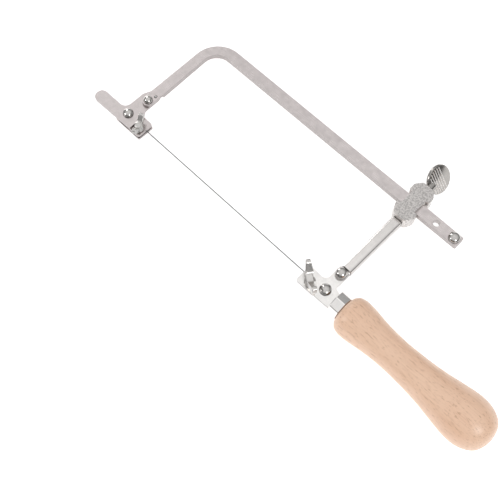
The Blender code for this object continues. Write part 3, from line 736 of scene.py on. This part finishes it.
@dataclass(frozen=True)
class WingScrew:
    """Cast clamp screw: coned hub, shank and wings that thin towards their tips."""

    place: Point2
    seat: float
    angle: float
    half_span: float = CAST_HALF_SPAN
    hub_radius: float = 3.2
    swell: float = 1.5

    def make(self) -> bpy.types.Object:
        """Return the screw, in millimetres on the saw's axes."""
        base = self.seat + SEAT_GAP
        half = self.half_span
        size = half / CAST_HALF_SPAN
        outline = [(-1.6, 0.6, 0), (1.6, 0.6, 0), (CAST_HALF_SPAN, 6.4, 2.4), (8.9, 12.2, 1.7),
                   (2.4, 5.6, 1.5), (-2.4, 5.6, 1.5), (-8.9, 12.2, 1.7),
                   (-CAST_HALF_SPAN, 6.4, 2.4)]
        wings = Bench.prism("wings", [(size * x, size * y, size * r) for x, y, r in outline],
                            -1.1, 1.1)
        for vertex in wings.data.vertices:
            vertex.co.z *= 1.0 + self.swell * (1.0 - min(1.0, abs(vertex.co.x) / half))
        stand = Matrix.Translation((0, 0, base)) @ Matrix.Rotation(math.pi / 2, 4, "X")
        Bench.move(wings, Matrix.Rotation(self.angle, 4, "Z") @ stand)
        rim = self.hub_radius
        hub = Bench.lathe("hub", [(0, base + 5.0), (1.9, base + 4.8), (2.4, base + 3.6),
                                  (rim, base + 0.8), (rim, base), (1.9, base), (1.9, -7.2),
                                  (1.4, -7.7), (0, -7.7)], 48)
        Bench.soften(Bench.join(hub, wings), grid=0.2, passes=5)
        return Bench.move(hub, Matrix.Translation((*self.place, 0.0)))


@dataclass
class Bow(Assembly):
    """Bent bar, its stop rivet and the drilled tail."""

    rivets: Rivets
    front_x: float = -78.0
    tail_x: float = 112.0
    spine: tuple[float, float] = (66.1, 73.1)
    half_thickness: float = 1.8
    lap_underside: float = 0.2
    tail_hole: Point2 = (95.5, 2.0)

    def build(self) -> None:
        """Make the bar and its rivets."""
        low, high = self.spine
        middle = (low + high) / 2
        bar = Bench.prism("bow", [(self.front_x, 9.3, 3.4), (self.front_x + 7.0, 9.3, 3.4),
                                  (self.front_x + 5.9, low, 9.5), (self.tail_x, low, 1.0),
                                  (self.tail_x, high, 1.0), (self.front_x, high, 17.0)],
                          -self.half_thickness, self.half_thickness)
        Bench.cut(bar, Bench.box((-80.0, -64.0), (8.0, 21.8), (-3.0, self.lap_underside)))
        hole_x, hole_radius = self.tail_hole
        Bench.cut(bar, Bench.drill((hole_x, middle), hole_radius))
        Bench.cut(bar, Bench.drill((STOP_X, middle), RIVET_HOLE))
        Bench.cut(bar, Bench.drill(UPPER_RIVET, RIVET_HOLE))
        Bench.cut(bar, Bench.drill(UPPER_PIN, PIN_HOLE))
        Bench.round_edges(bar, width=0.42)
        self.publish(bar, "bow_bar_shaped", SPINE_PLATE, "bow", "bow_bar")
        seat = self.half_thickness + SEAT_GAP
        stop = self.rivets.make("stop", Vector((STOP_X, middle, seat)), (3.4, DOME_HEIGHT),
                                (RIVET_SHANK, 3.9))
        self.publish(stop, "stop_rivet_domed", BRIGHT, "bow", "bow_stop_rivet")
        upper = self.rivets.make("upper", Vector((*UPPER_RIVET, seat)), (2.7, DOME_HEIGHT),
                                 (RIVET_SHANK, 3.8))
        self.publish(upper, "upper_rivet_domed", BRIGHT, "bow", "upper_plate_rivet")
        self.dress("upper_plate_pin", PLAIN)


@dataclass
class UpperClamp(Assembly):
    """Tabbed plate with its stepped lip, its rivet and its wing screw."""

    rivets: Rivets
    screw: WingScrew = WingScrew((-66.0, -2.6), -2.0, math.radians(-64.0), 7.0, 2.9, 0.9)
    rivet: Point2 = (-77.2, -0.6)
    top: float = -0.1
    lip_top: float = -2.0
    lip_base: float = -3.6

    def build(self) -> None:
        """Make the plate, the rivet and the screw."""
        plate = Bench.prism("plate", [(-101.1, -7.6, 3.95), (-69.4, -6.8, 0.8), (-69.4, 4.7, 0.6),
                                      (-71.6, 7.5, 2.5), (-71.6, 20.5, 2.5), (-78.6, 20.5, 1.0),
                                      (-81.1, 14.5, 3.0), (-81.1, 0.6, 4.2), (-101.1, 0.6, 3.95)],
                            self.top - PLATE_THICKNESS, self.top)
        Bench.join(plate, Bench.box((-71.0, -69.4), (-6.4, 4.0),
                                    (self.lip_base, self.top - 0.35)))
        Bench.join(plate, Bench.prism("lip", [(-69.9, -6.4, 0), (-62.6, -6.4, 1.4),
                                              (-62.6, 4.7, 1.4), (-69.9, 4.7, 0)],
                                      self.lip_base, self.lip_top))
        for place, radius in ((self.screw.place, SCREW_HOLE), (self.rivet, RIVET_HOLE),
                              (UPPER_RIVET, RIVET_HOLE), (UPPER_PIN, PIN_HOLE)):
            Bench.cut(plate, Bench.drill(place, radius))
        Bench.round_edges(plate, width=0.28)
        self.publish(plate, "upper_plate_shaped", CLAMP_PLATE, "bow", "upper_clamp_plate")
        rivet = self.rivets.make("tab", Vector((*self.rivet, self.top + SEAT_GAP)),
                                 (3.1, DOME_HEIGHT), (RIVET_SHANK, 1.9))
        self.publish(rivet, "tab_rivet_domed", BRIGHT, "bow", "tab_rivet")
        self.dress("upper_jaw", CLAMP_PLATE)
        self.publish(self.screw.make(), "upper_wing_screw_cast", SCREW_CASTING,
                     "upper_wing_screw", "upper_wing_screw")


@dataclass
class LowerClamp(Assembly):
    """Plate at the handle end, its wing screw and its two rivets."""

    rivets: Rivets
    screw: WingScrew = WingScrew((68.9, -2.6), -2.0, math.radians(-36.0))
    top: float = -2.0
    arm_seat: float = 0.1

    def build(self) -> None:
        """Make the plate, the rivets and the wing screw."""
        plate = Bench.prism("plate", [(62.6, -7.2, 1.2), (85.6, -6.6, 0.5), (85.6, 3.0, 0.5),
                                      (81.3, 4.6, 1.6), (81.8, 15.2, 0.8), (74.1, 15.2, 3.2),
                                      (74.5, 4.0, 3.2), (65.0, 4.6, 0.8), (62.6, 3.0, 0.8)],
                            self.top - PLATE_THICKNESS, self.top)
        for place, radius in ((self.screw.place, SCREW_HOLE), (TANG_RIVET, RIVET_HOLE),
                              (ARM_RIVET, RIVET_HOLE)):
            Bench.cut(plate, Bench.drill(place, radius))
        Bench.round_edges(plate, width=0.30)
        # The lower plate takes the lightened copy of the polished nickel: painted highlight.
        self.publish(plate, "lower_plate_shaped", BRIGHT_PLATE, "grip", "lower_clamp_plate")
        tang = self.rivets.make("tang", Vector((*TANG_RIVET, self.top + SEAT_GAP)),
                                (3.4, DOME_HEIGHT), (RIVET_SHANK, 3.8))
        self.publish(tang, "tang_rivet_domed", BRIGHT, "grip", "tang_rivet")
        arm = self.rivets.make("arm", Vector((*ARM_RIVET, self.arm_seat)), (3.2, DOME_HEIGHT),
                               (RIVET_SHANK, 3.7))
        self.publish(arm, "arm_rivet_domed", BRIGHT, "grip", "arm_rivet")
        self.dress("lower_jaw", CLAMP_PLATE)
        self.publish(self.screw.make(), "lower_wing_screw_cast", SCREW_CASTING,
                     "lower_wing_screw", "lower_wing_screw")


@dataclass
class LowerArm(Assembly):
    """Folded channel that carries the slider."""

    x: float = 78.6
    start: float = 15.6
    end: float = 56.7
    top: float = 1.1
    wall: float = 0.9
    half_width: float = 3.3
    depth: float = 5.9

    def build(self) -> None:
        """Make the channel and dress the tongue inside it."""
        length = self.end - self.start
        half = self.half_width
        arm = Bench.prism("arm", [(-half, -self.depth, 0), (-half, 0, 1.7), (half, 0, 1.7),
                                  (half, -self.depth, 0)], -length / 2, length / 2)
        inner = self.wall - half
        Bench.cut(arm, Bench.prism("core", [(inner, -7, 0), (inner, -self.wall, 0.9),
                                            (-inner, -self.wall, 0.9), (-inner, -7, 0)],
                                   -length, length))
        Bench.round_edges(arm, width=0.16, segments=2)
        lay = Matrix.Translation((self.x, self.start + length / 2, self.top))
        Bench.move(arm, lay @ Matrix.Rotation(math.pi / 2, 4, "X"))
        self.publish(arm, "lower_arm_folded", ARM_PLATE, "grip", "lower_arm")
        self.dress("arm_tongue", ARM_PLATE)


@dataclass
class Slider(Assembly):
    """Cast housing that wraps the spine."""

    x: float = 78.6
    half_height: float = 4.6
    channel: Point2 = (65.8, 73.4)
    channel_half: float = 2.1
    bore: float = 2.75

    def build(self) -> None:
        """Make the housing with its channel, bore and socket."""
        x = self.x
        half = self.half_height
        housing = Bench.prism("housing", [
            (x - 3.6, 57.0, 2.4), (x + 4.6, 57.0, 3.0), (x + 6.8, 61.5, 3.0), (x + 6.8, 64.7, 1.0),
            (x + 4.7, 65.2, 0.5), (x + 4.7, 74.0, 0.5), (x + 6.8, 74.5, 1.0), (x + 6.8, 78.6, 3.0),
            (x + 3.6, 82.6, 1.2), (x - 3.6, 82.6, 2.0), (x - 6.8, 78.6, 3.0), (x - 6.8, 74.5, 1.0),
            (x - 4.7, 74.0, 0.5), (x - 4.7, 65.2, 0.5), (x - 6.8, 64.7, 1.0),
            (x - 6.8, 62.0, 3.0)], -half, half)
        Bench.round_edges(housing, width=0.42)
        Bench.cut(housing, Bench.box((x - 14, x + 14), self.channel,
                                     (-self.channel_half, self.channel_half)))
        bore = Bench.drill((0.0, 0.0), self.bore, 0.0, 15.0)
        Bench.move(bore, Matrix.Translation((x, 69.6, 0.0)) @ Matrix.Rotation(-math.pi / 2, 4, "X"))
        Bench.cut(housing, bore)
        Bench.cut(housing, Bench.box((x - 2.4, x + 2.4), (56.0, 63.0), (-2.0, 0.1)))
        housing.data.shade_smooth()
        housing.data.set_sharp_from_angle(angle=math.radians(38.0))
        self.publish(housing, "slider_cast", CASTING, "grip", "slider_housing")
        self.dress("pressure_shoe", PLAIN)


@dataclass
class Thumbscrew(Assembly):
    """Screw with a tilted round head, ribbed on one half."""

    x: float = 78.6
    head_y: float = 92.2
    radius: float = 8.7
    thickness: float = 3.0
    tilt: float = math.radians(52.0)
    tip: float = 75.5
    pitch: float = 1.6
    ribs: int = 7

    def build(self) -> None:
        """Make the shank, the head and its ribs."""
        profile = [(0, 12.0), (2.5, 12.0), (2.8, 8.6), (2.8, 7.4), (2.4, 7.4), (2.4, 0.5),
                   (1.9, 0), (0, 0)]
        shank = Bench.lathe("shank", profile, 48)
        Bench.move(shank, Matrix.Translation((self.x, self.tip, 0)) @
                   Matrix.Rotation(-math.pi / 2, 4, "X"))
        body = self.thickness / 2 - 0.25
        rim = self.radius
        disc = Bench.lathe("disc", [(0, body), (rim - 1.1, body), (rim - 0.4, body - 0.2),
                                    (rim, body - 0.8), (rim, 0.8 - body),
                                    (rim - 0.4, 0.2 - body), (rim - 1.1, -body), (0, -body)], 96)
        lean = Matrix.Translation((self.x, self.head_y, 0)) @ Matrix.Rotation(self.tilt, 4, "Y")
        Bench.join(shank, Bench.move(disc, lean))
        shank.data.shade_smooth()
        shank.data.set_sharp_from_angle(angle=math.radians(36.0))
        # Head in the darkened cast nickel (painted shade), ribs in the lightened one (painted
        # highlight).
        self.publish(shank, "thumbscrew_turned", SHADED_THUMB_CASTING, "thumbscrew", "thumbscrew")
        self.publish(Bench.move(self.rib_field(body), lean), "thumbscrew_ribs", HIGHLIGHT_RIB_CASTING,
                     "thumbscrew")

    def rib_field(self, level: float) -> bpy.types.Object:
        """Lay ribs across the head, each as long as the head is wide there.

        Args:
            level: height of the head's face.

        Returns:
            The ribs, flat on the head's own axes.
        """
        tree = Repeat("head_ribs", HIGHLIGHT_RIB_CASTING, {"Count": ("NodeSocketInt", self.ribs),
                                                   "Head": ("NodeSocketFloat", self.radius - 0.9),
                                                   "Width": ("NodeSocketFloat", 0.42)})
        graph = tree.graph
        rod = graph.out("GeometryNodeMeshCylinder", None,
                        {"Vertices": 12, "Radius": tree["Width"], "Depth": 2.0})
        lying = graph.out("GeometryNodeTransform", None,
                          {"Geometry": rod, "Rotation": (0.0, math.pi / 2, 0.0)})
        start = 1.4 - self.radius
        line = graph.out("GeometryNodeMeshLine", None,
                         {"Count": tree["Count"], "Start Location": (0.0, start, level - 0.17),
                          "Offset": (0.0, self.pitch, 0.0)})
        spot = graph.node("ShaderNodeSeparateXYZ", None,
                          {0: graph.out("GeometryNodeInputPosition")})
        across = Port(graph, spot.outputs[1])
        chord = (tree["Head"] ** 2.0 - across * across) ** 0.5
        size = graph.out("ShaderNodeCombineXYZ", None, {0: chord, 1: 1.0, 2: 1.0})
        field = graph.out("GeometryNodeInstanceOnPoints", None,
                          {"Points": line, "Instance": lying, "Scale": size})
        tree.close(field)
        return tree.grow("ribs", bpy.data.meshes.new("head_ribs_seed"))


@dataclass
class Handle(Assembly):
    """Turned handle with its eight-sided ferrule."""

    y: float = -1.3
    z: float = -3.2
    ferrule_x: float = 85.9
    ferrule_length: float = 6.3
    ferrule_bore: float = 5.3
    neck: float = 5.0
    nose: float = -2.8
    tang_bore: float = 2.6
    tang_end_x: float = 141.0
    end_x: float = 190.3
    profile: tuple[Point2, ...] = (
        (0.000, 7.2), (0.006, 8.8), (0.025, 10.7), (0.055, 11.6), (0.085, 11.7),
        (0.140, 11.2), (0.210, 10.2), (0.290, 9.5), (0.370, 9.3), (0.450, 9.6),
        (0.530, 10.1), (0.620, 11.1), (0.710, 12.6), (0.780, 13.7), (0.830, 14.1),
        (0.880, 13.7), (0.925, 12.3), (0.960, 10.1), (0.982, 7.4), (0.995, 3.8))

    def build(self) -> None:
        """Make the ferrule and the wood, and dress the tang."""
        ferrule = Bench.lathe("ferrule", [(0, 0), (7.4, 0), (7.4, self.ferrule_length),
                                          (0, self.ferrule_length)], 8)
        Bench.cut(ferrule, Bench.drill((0, 0), self.ferrule_bore))
        Bench.round_edges(ferrule, width=0.38)
        lay = Matrix.Rotation(math.pi / 2, 4, "Y")
        Bench.move(ferrule, Matrix.Translation((self.ferrule_x, self.y, self.z)) @ lay)
        # The ferrule takes the lightest copy of the polished nickel: painted highlight.
        self.publish(ferrule, "ferrule_shaped", FERRULE_PLATE, "grip", "ferrule")
        start = self.ferrule_x + self.ferrule_length + SEAT_GAP
        length = self.end_x - start
        outer = [(radius, share * length) for share, radius in self.smooth_profile()]
        bottom = self.tang_end_x - start
        socket = [(self.neck, 0.0), (self.neck, self.nose), (self.tang_bore, self.nose),
                  (self.tang_bore, bottom), (0, bottom)]
        turning = [(0, length)] + outer[::-1] + socket
        wood = Bench.lathe("wood", turning, 112)
        wood.data.shade_smooth()
        wood.data.set_sharp_from_angle(angle=math.radians(35.0))
        Bench.move(wood, Matrix.Translation((start, self.y, self.z)) @ lay)
        self.publish(wood, "handle_turned", HANDLE_WOOD, "grip", "handle")
        self.dress("handle_tang", PLAIN)

    def smooth_profile(self) -> list[Point2]:
        """Return the outline of the wood.

        Returns:
            A smooth run of (share of the length, radius).
        """
        points = [Vector(point) for point in self.profile]
        ends = [points[0] * 2 - points[1], *points, points[-1] * 2 - points[-2]]
        run: list[Point2] = []
        steps = 7
        for index in range(1, len(ends) - 2):
            before, first, second, after = ends[index - 1:index + 3]
            for step in range(steps):
                t = step / steps
                spot = 0.5 * (2 * first + (second - before) * t
                              + (2 * before - 5 * first + 4 * second - after) * t * t
                              + (3 * first - before - 3 * second + after) * t ** 3)
                run.append((spot.x, spot.y))
        run.append(tuple(points[-1]))
        return [(min(max(share, 0.0), 1.0), max(radius, 0.05)) for share, radius in run]


@dataclass
class SawBlade(Assembly):
    """Fine blade: a strip with its teeth along its outer side."""

    length: float = 130.0
    edges: Point2 = (-0.15, 0.4)
    thickness: float = 0.4
    level: float = -Datum.blade_drop
    pitch: float = 0.62
    toothless: float = 6.0
    tooth_size: float = 0.3
    tooth_y: float = -0.1

    def build(self) -> None:
        """Make the strip and its teeth."""
        half = self.length / 2
        root, back = self.edges
        strip = Bench.prism("strip", [(-half, root, 0), (half, root, 0), (half, back, 0),
                                      (-half, back, 0)], self.level - self.thickness / 2,
                            self.level + self.thickness / 2)
        self.publish(strip, "blade_strip", BLADE, "blade", "saw_blade")
        reach = half - self.toothless
        count = int(2 * reach / self.pitch)
        tree = Repeat("blade_teeth", BLADE, {"Count": ("NodeSocketInt", count),
                                             "Size": ("NodeSocketFloat", self.tooth_size)})
        graph = tree.graph
        tooth = graph.out("GeometryNodeMeshCylinder", None,
                          {"Vertices": 3, "Radius": tree["Size"], "Depth": self.thickness * 0.9})
        pointed = graph.out("GeometryNodeTransform", None,
                            {"Geometry": tooth, "Rotation": (0.0, 0.0, -math.pi / 2)})
        line = graph.out("GeometryNodeMeshLine", None,
                         {"Count": tree["Count"],
                          "Start Location": (-reach, self.tooth_y, self.level),
                          "Offset": (self.pitch, 0.0, 0.0)})
        tree.close(graph.out("GeometryNodeInstanceOnPoints", None,
                             {"Points": line, "Instance": pointed}))
        teeth = tree.grow("teeth", bpy.data.meshes.new("teeth_seed"))
        self.publish(teeth, "blade_teeth", BLADE, "blade")


@dataclass
class Studio:
    """Camera, floor and soft light."""

    camera_place: Vector
    right: Vector
    up: Vector
    back: Vector
    lens: float = 61.2
    floor_reach: float = 6.0
    floor_drop: float = 1.0 * MM
    lamps: tuple[tuple[Corner, float, float], ...] = (
        ((-0.17, 0.28, 0.94), 0.036, 0.22), ((0.75, -0.25, 0.6), 2.4, 0.3),
        ((-0.5, -0.7, 0.45), 1.4, 0.25), ((-0.9, 0.3, 0.5), 1.7, 0.3))

    def build(self) -> None:
        """Set up everything round the object."""
        self.set_camera()
        self.lay_floor()
        self.light()
        bpy.context.scene.view_settings.view_transform = "Standard"

    def set_camera(self) -> None:
        """Place the camera."""
        data = bpy.data.cameras.new("view")
        data.lens = self.lens
        data.sensor_width = 36.0
        data.clip_start = 0.01
        camera = bpy.data.objects.new("view", data)
        bpy.context.scene.collection.objects.link(camera)
        axes = Matrix((self.right, self.up, self.back)).transposed().to_4x4()
        axes.translation = self.camera_place
        camera.matrix_world = axes
        bpy.context.scene.camera = camera

    def lay_floor(self) -> None:
        """Lay the pale floor just below the handle, the upper clamp and the thumbscrew's head."""
        matrix = Assembly.datum.matrix()
        spots = [matrix @ Vector(spot) for spot in
                 ((173.7, -1.3, -17.3), (-74.0, -2.6, -7.7), (84.0, 92.2, -6.9))]
        normal = (spots[1] - spots[0]).cross(spots[2] - spots[0]).normalized()
        if normal.z < 0:
            normal.negate()
        centre = sum(spots, Vector()) / len(spots) - normal * self.floor_drop
        mesh = bpy.data.meshes.new("floor")
        reach = self.floor_reach
        turn = normal.to_track_quat("Z", "Y").to_matrix()
        corners = [centre + turn @ Vector((x, y, 0.0)) for x, y in
                   ((-reach, -reach), (reach, -reach), (reach, reach), (-reach, reach))]
        mesh.from_pydata(corners, [], [(0, 1, 2, 3)])
        floor = Bench.wrap("floor", mesh)
        finish = bpy.data.materials.new("floor_white")
        finish.use_nodes = True
        shader = finish.node_tree.nodes["Principled BSDF"]
        shader.inputs["Base Color"].default_value = (0.92, 0.92, 0.92, 1.0)
        shader.inputs["Roughness"].default_value = 1.0
        shader.inputs["Specular IOR Level"].default_value = 0.0
        shader.inputs["Emission Color"].default_value = (1.0, 1.0, 1.0, 1.0)
        shader.inputs["Emission Strength"].default_value = 0.55
        mesh.materials.append(finish)

    def light(self) -> None:
        """Fill the room with soft light that darkens towards the horizon."""
        world = bpy.data.worlds.new("room")
        bpy.context.scene.world = world
        world.use_nodes = True
        graph = Graph(world.node_tree)
        sky = world.node_tree.nodes["Background"]
        aim = graph.out("ShaderNodeTexCoord", output="Generated")
        parts = graph.node("ShaderNodeSeparateXYZ", None, {0: aim})
        height = Port(graph, parts.outputs[2])
        level = graph.ramp(height, (0.0, 0.10), (0.30, 0.22), (0.62, 0.62), (0.92, 0.86))
        graph.tree.links.new(level.socket, sky.inputs["Color"])
        sky.inputs["Strength"].default_value = 1.0
        for place, energy, size in self.lamps:
            lamp = bpy.data.lights.new("soft", "AREA")
            lamp.energy = energy
            lamp.size = size
            holder = bpy.data.objects.new("soft", lamp)
            bpy.context.scene.collection.objects.link(holder)
            holder.location = place
            holder.rotation_euler = (-Vector(place)).to_track_quat("-Z", "Y").to_euler()


def main() -> None:
    """Build the pieces in order, then the room."""
    logging.basicConfig(level=logging.INFO, format="%(name)s %(message)s")
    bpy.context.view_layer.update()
    rivets = Rivets()
    for assembly in (Bow(rivets), UpperClamp(rivets), LowerClamp(rivets), LowerArm(), Slider(),
                     Thumbscrew(), Handle(), SawBlade()):
        assembly.build()
    Studio(camera_place=Vector((0.1177, -0.1855, 0.4379)), right=Vector((0.7117, 0.7025, 0.0)),
           up=Vector((-0.6442, 0.6527, 0.3988)), back=Vector((0.2801, -0.2838, 0.9171))).build()


if __name__ == "__main__":
    main()
